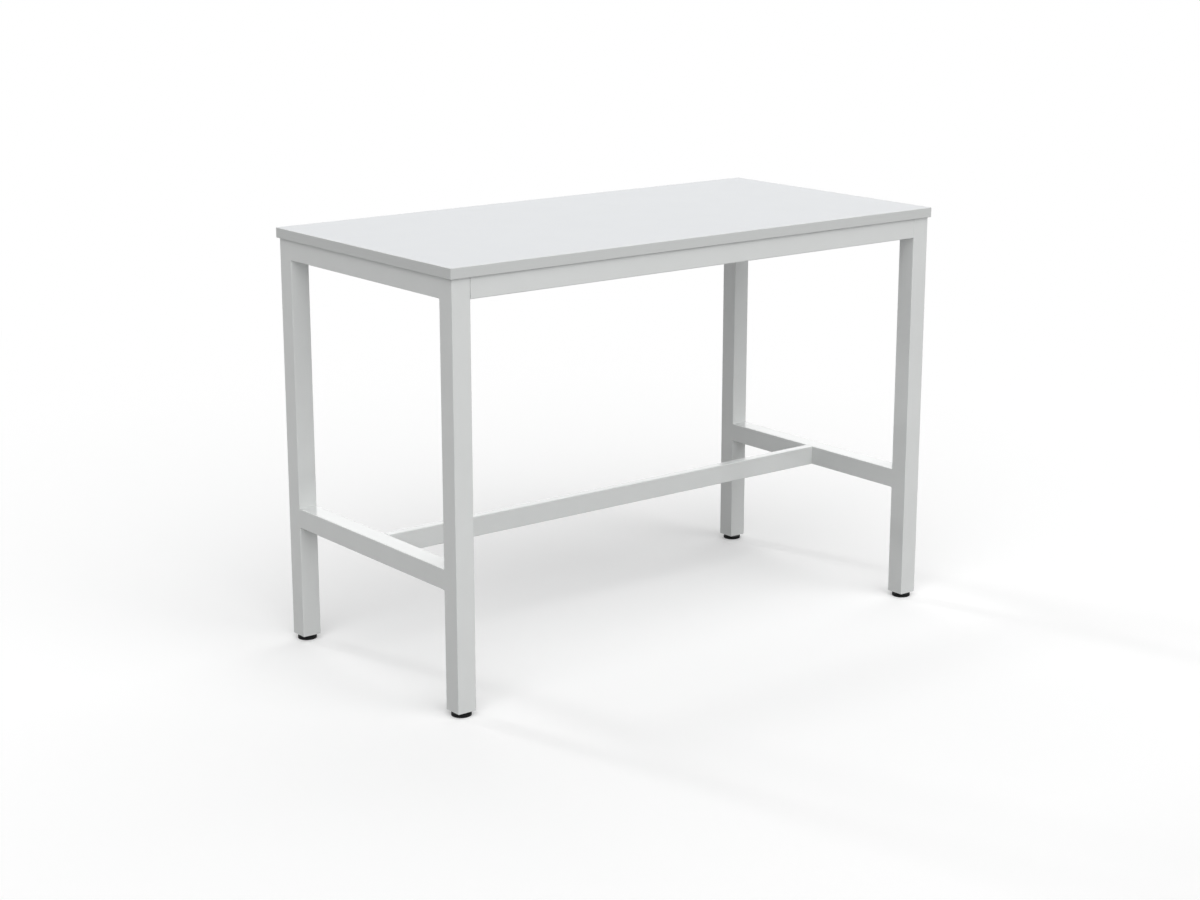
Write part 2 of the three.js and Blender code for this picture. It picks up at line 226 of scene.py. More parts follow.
class FootSettings(PropertyGroup):
    easing: length("Easing", "Easing of the feet's smaller edges", 0.3)
    clearance: length("Clearance", "Room between a stud and its pad", 0.3)
    plug_easing: length("Plug easing", "Easing of the leg plugs' edges", 0.3)
    stud_diameter: length("Stud", "Diameter of the foot studs' threads", 10)
    stud_pitch: length("Stud pitch", "Pitch of the foot studs' threads", 1.5)
    stud_chamfer: length("Stud chamfer", "Chamfer at the top of a foot stud", 1)
    collar_width: length("Collar", "Width across the flats of the spanner collars", 17)
    collar_height: length("Collar height", "Height of the spanner collars", 4.4)
    button_diameter: length("Button", "Diameter of the button that a pad turns on", 14)
    button_height: length("Button height", "Height of the button that a pad turns on", 2.2)
    pad_floor: length("Pad floor", "Thickness of a pad under its stud", 1.5)
    pad_round: length("Pad round", "Radius of a pad's outer edges", 1)
    pad_draft: length("Pad draft", "How much narrower a pad is at its top", 0.3)
    pad_rim: length("Pad rim", "Width of the rim on top of a pad", 3)
    pad_rim_drop: length("Pad rim drop", "Drop of the eased inner edge of the rim", 0.1)
    pad_dish: length("Pad dish", "How far the top of a pad dips between rim and lip", 0.5)
    pad_dish_slope: length("Pad dish slope", "Width of the slope into the dish", 2)
    pad_lip: length("Pad lip", "Width of the lip round a pad's socket", 2.4)
    groove_diameter: length("Groove", "Diameter of the ring groove under a pad", 34.6)
    groove_width: length("Groove width", "Width of the ring groove at its bottom", 1.2)
    groove_depth: length("Groove depth", "Depth of the ring groove", 0.35)


class FinishSettings(PropertyGroup):
    melamine: colour("Melamine", "Face of the board", "#dbdddf")
    melamine_shade: colour("Melamine shade", "Faint clouding of the board's face", "#d8dadc")
    edging: colour("Edging", "Edging of the board", "#d5d7d6")
    edging_shade: colour("Edging shade", "Faint streaks along the edging", "#d0d2d1")
    coat: colour("Powder coat", "Coat of the steel frame", "#e7e9e8")
    coat_shade: colour("Powder coat shade", "Where the coat is a little thinner", "#e2e4e3")
    zinc: colour("Zinc", "Bright plating of the fixings", "#c9cbce")
    zinc_shade: colour("Zinc shade", "Duller patches of the plating", "#aeb1b6")
    nylon: colour("Nylon", "Moulded foot pads", "#0c0d0e")
    # Lighter black of the pads' high spots: partly scuffs, partly painted sheen
    nylon_scuffs_and_sheen: colour("Nylon shade", "Scuffed high spots of the pads", "#161718")


class StageSettings(PropertyGroup):
    target: FloatVectorProperty(name="Target", description="Point that the camera looks at",
                                default=(-0.0421, 0, 0.4542), subtype="XYZ", unit="LENGTH")
    azimuth: angle("Azimuth", "Camera's turn round the table, 0 from the front", -38.118)
    elevation: angle("Elevation", "Camera's height above the horizon", 14.435)
    distance: length("Distance", "From the target to the camera", 5719.5)
    lens: FloatProperty(name="Lens", description="Focal length on a 36 mm sensor", default=67.03, min=1,
                        unit="CAMERA")
    key_azimuth: angle("Key azimuth", "Main light's turn round the table, 0 from the front", -19)
    key_elevation: angle("Key elevation", "Main light's height above the horizon", 46)
    key_spread: angle("Key spread", "Angle that the main light fills, seen from the table", 80)
    key_strength: strength("Key strength", "Main light in watts per square metre", 2.31)
    rim_azimuth: angle("Rim azimuth", "Rim light's turn round the table, 0 from the front", 132.6)
    rim_elevation: angle("Rim elevation", "Rim light's height above the horizon", 32.1)
    rim_spread: angle("Rim spread", "Angle that the rim light fills, seen from the table", 64)
    rim_strength: strength("Rim strength", "Rim light in watts per square metre", 0.79)
    back_azimuth: angle("Back azimuth", "Back light's turn round the table, 0 from the front", -165)
    back_elevation: angle("Back elevation", "Back light's height above the horizon", 22.8)
    back_spread: angle("Back spread", "Angle that the back light fills, seen from the table", 7.4)
    back_strength: strength("Back strength", "Back light in watts per square metre", 0.45)
    sky: strength("Sky", "Even light from all round", 0.267)
    floor_tone: colour("Floor tone", "What the floor shows of the light and shadow on it", "#f6f6f6")
    floor_glow: strength("Floor glow", "Even white of the floor under its shadows", 0.095)
    floor_bounce: colour("Floor bounce", "What the floor throws back at the table", "#818181")
    floor_near: length("Floor near", "Up to here the floor takes shadows", 2200)
    floor_far: length("Floor far", "From here on the floor is plain white", 4500)


# Meshes

def loft(name, rings, closed=False):
    """Mesh skinned over rings of equal point counts, capped at its ends or closed on itself."""
    count = len(rings[0])
    points = [point for each in rings for point in each]
    faces = []
    for row in range(len(rings) if closed else len(rings) - 1):
        here = row * count
        there = (row + 1) % len(rings) * count
        for i in range(count):
            j = (i + 1) % count
            faces.append((here + i, here + j, there + j, there + i))
    if not closed:
        faces.append(tuple(reversed(range(count))))
        faces.append(tuple(range(len(points) - count, len(points))))
    mesh = bpy.data.meshes.new(name)
    mesh.from_pydata(points, [], faces)
    return mesh


def even_angles(sides):
    """Angles of points spread evenly round a ring."""
    return [TURN * i / sides for i in range(sides)]


def ring(angles, radius, height):
    """Ring about Z. Radius and height are numbers, or functions of the angle."""
    points = []
    for turn in angles:
        reach = radius(turn) if callable(radius) else radius
        level = height(turn) if callable(height) else height
        points.append((reach * math.cos(turn), reach * math.sin(turn), level))
    return points


def arc(radius, height, wide, high, start, steps):
    """Quarter arc of a turned profile, as pairs of radius and height."""
    turns = [start + QUARTER * i / steps for i in range(steps + 1)]
    return [(radius + wide * math.cos(t), height + high * math.sin(t)) for t in turns]


def hexagon(across_flats):
    """Radius of a hexagon by angle."""
    sector = TURN / HEX_SIDES
    return lambda turn: across_flats / 2 / math.cos((turn + sector / 2) % sector - sector / 2)


def cross(long, wide):
    """Radius of a cross recess by angle."""
    def radius(turn):
        lean = abs((turn + QUARTER / 2) % QUARTER - QUARTER / 2)
        return min(long / 2 / math.cos(lean), wide / 2 / max(math.sin(lean), SAME_PLACE))
    return radius


def cross_angles(long, wide):
    """Angles round a cross recess, with one at each of its corners."""
    corner = math.atan2(wide, long)
    bounds = (-QUARTER / 2, -corner, corner, QUARTER / 2)
    angles = []
    for arm in range(len(SQUARE_CORNERS)):
        for low, high in zip(bounds, bounds[1:]):
            angles += [arm * QUARTER + low + (high - low) * i / CROSS_STEPS for i in range(CROSS_STEPS)]
    return angles


def thread(angles, bottom, top, pitch, major, minor, point=0):
    """Rings of a right-hand thread that runs out at both ends and narrows over its point."""
    count = math.ceil((top - bottom) / pitch * THREAD_ROWS)
    rings = []
    for row in range(count + 1):
        height = bottom + (top - bottom) * row / count
        depth = (major - minor) * min(1, (height - bottom) / pitch, (top - height) / pitch)
        taper = min(1, (top - height) / point) if point else 1

        def radius(turn):
            share = (height / pitch - turn / TURN) % 1
            crest = min(1, max(0, THREAD_FLANK * abs(2 * share - 1) - THREAD_ROOT))
            return max((minor + depth * crest) * taper, SAME_PLACE)
        rings.append(ring(angles, radius, height))
    return rings


def rounded_ring(width, depth, radius):
    """Points of a rounded rectangle about the origin, anticlockwise."""
    points = []
    for quadrant, (x, y) in enumerate(SQUARE_CORNERS):
        for a, b in arc(0, 0, radius, radius, quadrant * QUARTER, CORNER_STEPS):
            points.append((x * (width / 2 - radius) + a, y * (depth / 2 - radius) + b))
    return points


def tube_mesh(name, node, sizes):
    """Open tube in the place of a node, along its longest side, with deburred ends."""
    low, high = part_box(node)
    size = high - low
    middle = (low + high) / 2
    along = max(range(3), key=lambda axis: size[axis])
    across = (along + 1) % 3
    upward = (along + 2) % 3

    def section(inset, radius, level):
        points = []
        for a, b in rounded_ring(size[across] - 2 * inset, size[upward] - 2 * inset, radius):
            point = Vector()
            point[across] = middle[across] + a
            point[upward] = middle[upward] + b
            point[along] = level
            points.append(point)
        return points

    start = low[along]
    end = high[along]
    easing = sizes.cut_easing
    corner = sizes.tube_corner
    return loft(name, [
        section(easing, corner - easing, start),
        section(0, corner, start + easing),
        section(0, corner, end - easing),
        section(easing, corner - easing, end),
        section(sizes.tube_wall, sizes.tube_bore_corner, end),
        section(sizes.tube_wall, sizes.tube_bore_corner, start),
    ], closed=True)


def drilled(name, mesh, places, radius, depth):
    """Copy of a mesh with holes along Y cut through it at the given places."""
    holder = bpy.data.objects.new(name, mesh)
    bpy.context.scene.collection.objects.link(holder)
    rings = [ring(even_angles(FASTENER_SIDES), radius, level) for level in (-depth, depth)]
    drill = loft("drill", rings)
    drills = []
    for place in places:
        cutter = bpy.data.objects.new("drill", drill)
        cutter.location = place
        cutter.rotation_euler.x = QUARTER
        bpy.context.scene.collection.objects.link(cutter)
        hole = holder.modifiers.new("hole", "BOOLEAN")
        hole.object = cutter
        drills.append(cutter)
    bpy.context.view_layer.update()
    cut = bpy.data.meshes.new_from_object(holder.evaluated_get(bpy.context.evaluated_depsgraph_get()))
    for helper in (holder, *drills):
        bpy.data.objects.remove(helper)
    cut.name = name
    return cut


def ease_square_edges(work, easing):
    """Rounds the square edges of a mesh that is being worked on."""
    square = [edge for edge in work.edges if edge.calc_face_angle(0) > SQUARE_ANGLE]
    bmesh.ops.bevel(work, geom=square, offset=easing, segments=EASING_STEPS, profile=ROUND_PROFILE,
                    affect="EDGES", clamp_overlap=True)


def to_mesh(name, work):
    """Mesh from one that was being worked on."""
    mesh = bpy.data.meshes.new(name)
    work.to_mesh(mesh)
    work.free()
    return mesh


def eased_copy(name, node, easing):
    """Copy of a node's mesh with its square edges eased."""
    work = bmesh.new()
    work.from_mesh(frame["nodes"][node].data)
    bmesh.ops.remove_doubles(work, verts=work.verts, dist=SAME_PLACE)
    bmesh.ops.dissolve_limit(work, angle_limit=FLAT_ANGLE, verts=work.verts, edges=work.edges)
    ease_square_edges(work, easing)
    return to_mesh(name, work)


def bar_mesh(name, node, is_arris, arris, easing):
    """Bar in the place of a node, with some edges rounded to an arris and the rest eased."""
    low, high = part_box(node)
    work = bmesh.new()
    bmesh.ops.create_cube(work, size=1, matrix=Matrix.LocRotScale((low + high) / 2, None, high - low))
    rounded = [edge for edge in work.edges if is_arris(edge)]
    bmesh.ops.bevel(work, geom=rounded, offset=arris, segments=ARRIS_STEPS, profile=ROUND_PROFILE,
                    affect="EDGES")
    ease_square_edges(work, easing)
    return to_mesh(name, work)


def faced_outwards(mesh):
    """Turns all faces of a closed mesh outwards."""
    work = bmesh.new()
    work.from_mesh(mesh)
    bmesh.ops.recalc_face_normals(work, faces=work.faces)
    work.to_mesh(mesh)
    work.free()
    return mesh


def piece(mesh, slot, body="frame", replaced=(), at=(0, 0, 0), turn=(0, 0, 0), name=None,
          flat_faces=False):
    """Adds a mesh as a piece that rides on a body in place of the nodes that it stands for.

    With flat_faces its broad faces are shaded evenly, right up to their eased edges.
    """
    mesh.polygons.foreach_set("use_smooth", [True] * len(mesh.polygons))
    mesh.set_sharp_from_angle(angle=SMOOTH_ANGLE)
    mesh.materials.clear()
    mesh.materials.append(finish(slot))
    made = bpy.data.objects.new(name or mesh.name, mesh)
    bpy.context.scene.collection.objects.link(made)
    made.location = at
    made.rotation_euler = turn
    if flat_faces:
        made.modifiers.new("flat faces", "WEIGHTED_NORMAL").keep_sharp = True
    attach(made, body)
    if replaced:
        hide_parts(*replaced)
    return made


# Materials

def add(tree, kind, inputs=None, **settings):
    """Adds a node. Inputs maps a socket to a value or to the output that is linked to it."""
    node = tree.nodes.new(kind)
    for name, value in settings.items():
        setattr(node, name, value)
    for socket, value in (inputs or {}).items():
        if isinstance(value, bpy.types.NodeSocket):
            tree.links.new(value, node.inputs[socket])
        else:
            node.inputs[socket].default_value = value
    return node


def per_metre(millimetres):
    """Texture scale of a pattern whose marks lie this far apart."""
    return 1 / (millimetres * MM)


def surface(tree, tones, tone_by, roughness, roughness_by, optics, relief_by=None, relief=0, height=0):
    """Shader whose tone and roughness each go from one value to another by a pattern, with a relief."""
    tint = add(tree, "ShaderNodeMix", {
        "Factor": tone_by, FROM_COLOUR: tones[0], TO_COLOUR: tones[1]}, data_type="RGBA")
    gloss = add(tree, "ShaderNodeMapRange", {
        "Value": roughness_by, "To Min": roughness[0], "To Max": roughness[1]})
    shader = add(tree, "ShaderNodeBsdfPrincipled", {
        "Base Color": tint.outputs[MIXED_COLOUR], "Roughness": gloss.outputs["Result"], **optics})
    if relief_by is not None:
        bump = add(tree, "ShaderNodeBump", {"Height": relief_by, "Strength": relief, "Distance": height})
        tree.links.new(bump.outputs["Normal"], shader.inputs["Normal"])
    return shader


def melamine_facing(tree, where, colours):
    # Melamine-faced particleboard: paper soaked in resin and pressed on a textured plate.
    # The eye gets a matt, slightly pearled white, with a soft sheen at a low angle. The pearl of
    # such a plate is about 0.8 mm across, and is drawn at 3 mm so that it shows.
    cloud_width = 90
    pearl_width = 3
    cloud = add(tree, "ShaderNodeTexNoise", {
        "Vector": where, "Scale": per_metre(cloud_width), "Detail": 3}).outputs["Fac"]
    pearl = add(tree, "ShaderNodeTexNoise", {
        "Vector": where, "Scale": per_metre(pearl_width), "Detail": 2}).outputs["Fac"]
    return surface(tree, tones=(colours.melamine, colours.melamine_shade), tone_by=cloud,
                   roughness=(0.62, 0.74), roughness_by=pearl, optics={"IOR": 1.5},
                   relief_by=pearl, relief=0.25, height=0.03 * MM)


def abs_edging(tree, where, colours):
    # ABS edging: extruded, glued on, trimmed and scraped. The eye gets a satin white that is a
    # shade duller than the board, with faint scraper streaks along its length. Such streaks lie
    # about 0.5 mm apart, and are drawn 2.5 mm apart so that they show.
    streak_width = 2.5
    streak_length = 125
    lengthwise = streak_width / streak_length
    along = add(tree, "ShaderNodeMapping", {"Vector": where, "Scale": (lengthwise, lengthwise, 1)})
    streak = add(tree, "ShaderNodeTexNoise", {
        "Vector": along.outputs["Vector"], "Scale": per_metre(streak_width), "Detail": 2}).outputs["Fac"]
    return surface(tree, tones=(colours.edging, colours.edging_shade), tone_by=streak,
                   roughness=(0.36, 0.48), roughness_by=streak, optics={"IOR": 1.53},
                   relief_by=streak, relief=0.2, height=0.03 * MM)


def powder_coat(tree, where, colours):
    # Satin powder coat on steel: sprayed on dry and baked, so that it flows out into a shallow
    # orange peel. The eye gets an even white that is soft face on, and that mirrors what stands on it
    # at a low angle, where the reflections waver a little. The peel of such a coat is about 2 mm
    # across, and is drawn at 3.5 mm so that it shows.
    film_width = 70
    peel_width = 3.5
    film = add(tree, "ShaderNodeTexNoise", {
        "Vector": where, "Scale": per_metre(film_width), "Detail": 2}).outputs["Fac"]
    peel = add(tree, "ShaderNodeTexNoise", {
        "Vector": where, "Scale": per_metre(peel_width), "Detail": 1}).outputs["Fac"]
    return surface(tree, tones=(colours.coat, colours.coat_shade), tone_by=film,
                   roughness=(0.13, 0.15), roughness_by=film, optics={"IOR": 1.5},
                   relief_by=peel, relief=0.2, height=0.04 * MM)


def bright_zinc(tree, where, colours):
    # Bright zinc plating on steel: laid on in a barrel. The eye gets a cool silver with duller
    # patches where pieces rubbed together.
    patch_width = 4
    patch = add(tree, "ShaderNodeTexNoise", {
        "Vector": where, "Scale": per_metre(patch_width), "Detail": 4}).outputs["Fac"]
    return surface(tree, tones=(colours.zinc, colours.zinc_shade), tone_by=patch,
                   roughness=(0.22, 0.42), roughness_by=patch, optics={"Metallic": 1})


def moulded_nylon(tree, where, colours):
    # Black nylon, moulded in a spark-eroded tool. The eye gets a deep, dull black. The high spots of the
    # fine tooth are painted a slightly greyer black: partly scuffs, and partly painted sheen, since the
    # pits of the tooth swallow most of the sheen. Such a tooth is about 0.2 mm across, and is drawn at
    # 0.9 mm so that it shows.
    tooth_width = 0.9
    tooth = add(tree, "ShaderNodeTexNoise", {
        "Vector": where, "Scale": per_metre(tooth_width), "Detail": 3}).outputs["Fac"]
    # The tooth's high spots take the lighter black: scuffs, and painted sheen
    return surface(tree, tones=(colours.nylon, colours.nylon_scuffs_and_sheen), tone_by=tooth,
                   roughness=(0.5, 0.65), roughness_by=tooth,
                   optics={"IOR": 1.53, "Specular IOR Level": 0.12},
                   relief_by=tooth, relief=0.4, height=0.04 * MM)


FINISHES = {
    "white_laminate": ("Melamine-faced particleboard", melamine_facing),
    "white_edging": ("Extruded ABS edging", abs_edging),
    "white_powder_coat": ("Satin powder coat on steel", powder_coat),
    "zinc_steel": ("Bright zinc-plated steel", bright_zinc),
    "black_nylon": ("Moulded black nylon", moulded_nylon),
}


def new_tree(owner):
    """Empty node tree of a new material or world."""
    owner.use_nodes = True
    owner.node_tree.nodes.clear()
    return owner.node_tree


def finish(slot):
    """Material of a slot, made when the first piece asks for it."""
    name, build = FINISHES[slot]
    made = bpy.data.materials.get(name)
    if made is None:
        made = bpy.data.materials.new(name)
        tree = new_tree(made)
        where = add(tree, "ShaderNodeTexCoord").outputs["Object"]
        shader = build(tree, where, bpy.context.scene.table_finish)
        add(tree, "ShaderNodeOutputMaterial", {"Surface": shader.outputs["BSDF"]})
    return made


# Pieces

class TABLE_OT_worktop(Operator):
    """Adds the faced board and the edging on its four sides"""
    bl_idname = "table.worktop"
    bl_label = "Worktop"

    def execute(self, context):
        sizes = context.scene.table_worktop
        board = eased_copy("faced_tabletop_board", "tabletop_board", sizes.board_easing)
        piece(board, "white_laminate", replaced=["tabletop_board"], flat_faces=True)
        for side in (*SIDES, *ENDS):
            node = f"edge_band_{side}"
            low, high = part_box(node)
            across = 1 if side in SIDES else 0
            outer = low[across] if side in ("front", "left") else high[across]

            def is_arris(edge):
                """The long strips are rounded all round; the short ones only along their length."""
                on_outer = [abs(vert.co[across] - outer) < SAME_PLACE for vert in edge.verts]
                span = edge.verts[0].co - edge.verts[1].co
                lies_level = abs(span.z) < SAME_PLACE
                if side in ENDS:
                    return all(on_outer) and lies_level
                return all(on_outer) or (any(on_outer) and lies_level)
            strip = bar_mesh(f"trimmed_{node}", node, is_arris, sizes.arris, sizes.edging_easing)
            piece(strip, "white_edging", replaced=[node], flat_faces=True)
        return {"FINISHED"}


class TABLE_OT_end_frames(Operator):
    """Adds the legs, end rails and crossbars of the two welded end frames"""
    bl_idname = "table.end_frames"
    bl_label = "End frames"

    def execute(self, context):
        sizes = context.scene.table_frame
        tubes = [f"leg_{corner}" for corner in CORNERS]
        tubes += [f"{kind}_{end}" for kind in ("end_rail", "crossbar") for end in ENDS]
        for node in tubes:
            mesh = tube_mesh(f"coated_{node}", node, sizes)
            piece(mesh, "white_powder_coat", replaced=[node], flat_faces=True)
        return {"FINISHED"}


def bolt_seat(bar, node, end):
    """Place of a bolt on the face of its bar that it goes through, and the side that face is on."""
    bolt = sum(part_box(f"bolt_{bar}_{end}"), Vector()) / 2
    low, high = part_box(node)
    side = 1 if bolt.y > (low.y + high.y) / 2 else -1
    return Vector((bolt.x, high.y if side > 0 else low.y, bolt.z)), side


class TABLE_OT_long_bars(Operator):
    """Adds the long rails and the footrest stretcher, drilled for their bolts"""
    bl_idname = "table.long_bars"
    bl_label = "Long rails and stretcher"

    def execute(self, context):
        sizes = context.scene.table_frame
        bolts = context.scene.table_fixings
        hole = bolts.bolt_diameter / 2 + bolts.bolt_room
        for bar, node in LONG_BARS.items():
            places = [bolt_seat(bar, node, end)[0] for end in ENDS]
            mesh = tube_mesh(node, node, sizes)
            mesh = drilled(f"coated_{node}", mesh, places, hole, 2 * sizes.tube_wall)
            piece(mesh, "white_powder_coat", replaced=[node], flat_faces=True)
        return {"FINISHED"}


def weld_mesh(name, tube, leg_face, inwards, sizes):
    """Weld round the end of a crossing tube: a fillet below, and ground flush above and at the sides."""
    low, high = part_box(tube)
    middle = (low + high) / 2
    size = high - low
    corner = sizes.tube_corner
    flat = size.x - 2 * corner
    rise = size.z / 2 - corner
    ripples = round(flat / sizes.weld_ripple)
    shares = [step / WELD_STEPS for step in range(WELD_STEPS + 1)]

    # Each form is a line of points: along the tube from the leg, and out from the tube's face
    ground = [(sizes.ground_width * (1 - s) - corner * s, -sizes.ground_recess) for s in shares]
    level = [(sizes.ground_width * (1 - s) - sizes.cut_easing * s, -sizes.cut_easing) for s in shares]
    fillet = []
    for s in shares:
        bulge = sizes.weld_crown * math.sin(math.pi * s) - sizes.weld_lap
        fillet.append((sizes.weld_leg * (1 - s) + bulge, sizes.weld_leg * s + bulge))
    root = (2 * sizes.weld_lap, -sizes.weld_root)

    # Stations round the tube: the corner's middle, the angle of the face, and the ripple's number.
    # The ripples follow the corner from which the underside starts.
    stations = []
    for quadrant, (x, z) in enumerate(SQUARE_CORNERS):
        for step in range(CORNER_STEPS + 1):
            stations.append((x * flat / 2, z * rise, (quadrant + step / CORNER_STEPS) * QUARTER, 0))
        if x < 0 and z < 0:
            count = ripples * RIPPLE_STEPS
            for share in [step / count for step in range(1, count)]:
                stations.append((flat * (share - 0.5), -rise, -QUARTER, share * ripples))
    rings = []
    for x, z, turn, ripple in stations:
        nx = math.cos(turn)
        nz = math.sin(turn)
        open_form = level if nz > 0 else fillet
        swell = sizes.weld_ripple_height * math.sin(TURN * ripple)
        section = [root]
        for s, (u0, v0), (u1, v1) in zip(shares, ground, open_form):
            lift = swell * math.sin(math.pi * s)
            section.append((u0 * nx * nx + u1 * nz * nz + lift, v0 * nx * nx + v1 * nz * nz + lift))
        points = []
        for u, v in section:
            points.append((middle.x + x + nx * (corner + v), leg_face + inwards * u,
                           middle.z + z + nz * (corner + v)))
        rings.append(points)
    return faced_outwards(loft(name, rings, closed=True))


class TABLE_OT_welds(Operator):
    """Adds the welds between the legs and the tubes that cross between them"""
    bl_idname = "table.welds"
    bl_label = "Welds"

    def execute(self, context):
        sizes = context.scene.table_frame
        for kind in ("end_rail", "crossbar"):
            for corner in CORNERS:
                side, end = corner.split("_")
                low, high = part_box(f"leg_{corner}")
                face = high.y if side == "front" else low.y
                inwards = 1 if side == "front" else -1
                mesh = weld_mesh(f"weld_{kind}_{corner}", f"{kind}_{end}", face, inwards, sizes)
                piece(mesh, "white_powder_coat")
        return {"FINISHED"}


def head_profile(radius, height, rim, flat, line, neck):
    """Turned profile of a domed head, from the flat of its crown to the neck under it."""
    crown = height - rim
    dome = arc(flat / 2, crown, radius - flat / 2, crown, -QUARTER, DOME_STEPS)
    return [*dome, (radius, height - line), (radius - line, height), (neck, height)]


def bolt_mesh(name, low, high, sizes):
    """Button-head bolt about Z, its crown at the bottom, as long as its node is along Y."""
    angles = even_angles(FASTENER_SIDES)
    top = high.y - low.y
    line = sizes.hairline
    socket = hexagon(sizes.bolt_socket)
    mouth = socket(TURN / HEX_SIDES / 2) + line
    major = sizes.bolt_diameter / 2
    minor = major - THREAD_DEPTH * sizes.bolt_pitch
    radius = (high.x - low.x) / 2
    head = head_profile(radius, sizes.bolt_head, sizes.bolt_rim, sizes.bolt_flat, line, major)
    rings = [
        ring(angles, line, sizes.bolt_socket_depth + sizes.bolt_socket_cone),
        ring(angles, socket, sizes.bolt_socket_depth),
        ring(angles, socket, sizes.bolt_socket_lead),
        ring(angles, mouth, 0),
    ]
    rings += [ring(angles, r, z) for r, z in head]
    rings += thread(angles, sizes.bolt_head + line, top - sizes.bolt_point, sizes.bolt_pitch,
                    major, minor)
    rings.append(ring(angles, minor - line, top))
    return loft(name, rings)


class TABLE_OT_rail_joints(Operator):
    """Adds the spigots and button-head bolts that join the long bars to the end frames"""
    bl_idname = "table.rail_joints"
    bl_label = "Rail joints"

    def execute(self, context):
        sizes = context.scene.table_fixings
        bolt = bolt_mesh("button_head_bolt", *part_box(f"bolt_front_{ENDS[0]}"), sizes)
        for bar, node in LONG_BARS.items():
            for end in ENDS:
                spigot_node = f"spigot_{bar}_{end}"
                spigot = eased_copy(f"coated_{spigot_node}", spigot_node, sizes.spigot_easing)
                piece(spigot, "white_powder_coat", replaced=[spigot_node], flat_faces=True)
                bolt_node = f"bolt_{bar}_{end}"
                at, side = bolt_seat(bar, node, end)
                low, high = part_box(bolt_node)
                at.y = high.y if side > 0 else low.y
                piece(bolt, "zinc_steel", replaced=[bolt_node], at=at, turn=(side * QUARTER, 0, 0),
                      name=f"plated_{bolt_node}")
        return {"FINISHED"}


def tab_mesh(name, size, sizes):
    """Fixing tab with its welded edge along X, reaching along +Y, with a hole and eased edges."""
    half = size.x / 2
    corner = sizes.tab_corner
    side = size.y - corner
    shares = [step / EDGE_STEPS for step in range(EDGE_STEPS)]
    outline = [(half, side * s) for s in shares]
    outline += arc(half - corner, side, corner, corner, 0, CORNER_STEPS)
    outline += arc(corner - half, side, corner, corner, QUARTER, CORNER_STEPS)
    outline += [(-half, side * s) for s in reversed(shares)]
    outline += [(half * step / EDGE_STEPS, 0) for step in range(1 - EDGE_STEPS, EDGE_STEPS)]
    centre = Vector((0, sizes.screw_inset))
    spokes = [Vector(point) - centre for point in outline]

    def edge(inset, level):
        return [(*(centre + spoke * (1 - inset / spoke.length)), level) for spoke in spokes]

    def bore(radius, level):
        return [(*(centre + spoke.normalized() * radius), level) for spoke in spokes]

    hole = sizes.tab_hole / 2
    easing = sizes.tab_easing
    top = size.z
    return loft(name, [
        bore(hole + easing, 0), edge(easing, 0), edge(0, easing), edge(0, top - easing),
        edge(easing, top), bore(hole + easing, top), bore(hole, top - easing), bore(hole, easing),
    ], closed=True)


def bead_mesh(name, width, sizes):
    """Fillet bead along X, under a plate at z 0 and against a wall at y 0, fading at its ends."""
    ripples = round(width / sizes.weld_ripple)
    count = ripples * RIPPLE_STEPS
    lap = 2 * sizes.weld_lap
    rings = []
    for share in [station / count for station in range(count + 1)]:
        growth = min(1, share / BEAD_GROWTH, (1 - share) / BEAD_GROWTH)
        leg = sizes.weld_leg * (BEAD_START + (1 - BEAD_START) * math.sqrt(growth))
        leg += sizes.weld_ripple_height * math.sin(TURN * share * ripples)
        x = width * (share - 0.5)
        points = [(x, -lap, lap)]
        for s in [step / WELD_STEPS for step in range(WELD_STEPS + 1)]:
            bulge = sizes.weld_crown * math.sin(math.pi * s)
            points.append((x, leg * (1 - s) + bulge, -leg * s - bulge))
        rings.append(points)
    return faced_outwards(loft(name, rings))


def screw_mesh(name, low, high, sizes):
    """Pan-head screw about Z with a cross recess, its head at the bottom and its point up."""
    angles = cross_angles(sizes.cross_length, sizes.cross_width)
    top = high.z - low.z
    line = sizes.hairline
    core = sizes.screw_core / 2
    radius = (high.x - low.x) / 2
    head = head_profile(radius, sizes.screw_head, sizes.screw_rim, sizes.screw_flat, line, core)
    rings = [
        ring(angles, cross(sizes.cross_length / 2, sizes.cross_width / 2), sizes.cross_depth),
        ring(angles, cross(sizes.cross_length, sizes.cross_width), line),
        ring(angles, cross(sizes.cross_length + 2 * line, sizes.cross_width + 2 * line), 0),
    ]
    rings += [ring(angles, r, z) for r, z in head]
    rings += thread(angles, sizes.screw_head + line, top - line, sizes.screw_pitch,
                    sizes.screw_diameter / 2, core, sizes.screw_point)
    return loft(name, rings)


class TABLE_OT_top_fixings(Operator):
    """Adds the welded tabs and the pan-head screws that hold the top down"""
    bl_idname = "table.top_fixings"
    bl_label = "Top fixings"

    def execute(self, context):
        sizes = context.scene.table_fixings
        low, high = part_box(f"fixing_tab_{TABS[0]}")
        tab_size = high - low
        tab = tab_mesh("fixing_tab", tab_size, sizes)
        bead = bead_mesh("tab_bead", tab_size.x - 2 * sizes.tab_bead_inset, context.scene.table_frame)
        screw = screw_mesh("pan_head_screw", *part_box(f"top_screw_{TABS[0]}"), sizes)
        for name in TABS:
            turn = (0, 0, TAB_TURNS[name.split("_")[0]])
            low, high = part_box(f"fixing_tab_{name}")
            inwards = Matrix.Rotation(turn[2], 2) @ Vector((0, 1))
            edge = (*(((low + high) / 2).xy - inwards * tab_size.y / 2), low.z)
            piece(tab, "white_powder_coat", replaced=[f"fixing_tab_{name}"], at=edge, turn=turn,
                  name=f"coated_fixing_tab_{name}", flat_faces=True)
            piece(bead, "white_powder_coat", at=edge, turn=turn, name=f"weld_tab_{name}")
            low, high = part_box(f"top_screw_{name}")
            piece(screw, "zinc_steel", replaced=[f"top_screw_{name}"], turn=turn,
                  at=(*((low + high) / 2).xy, low.z), name=f"plated_top_screw_{name}")
        return {"FINISHED"}


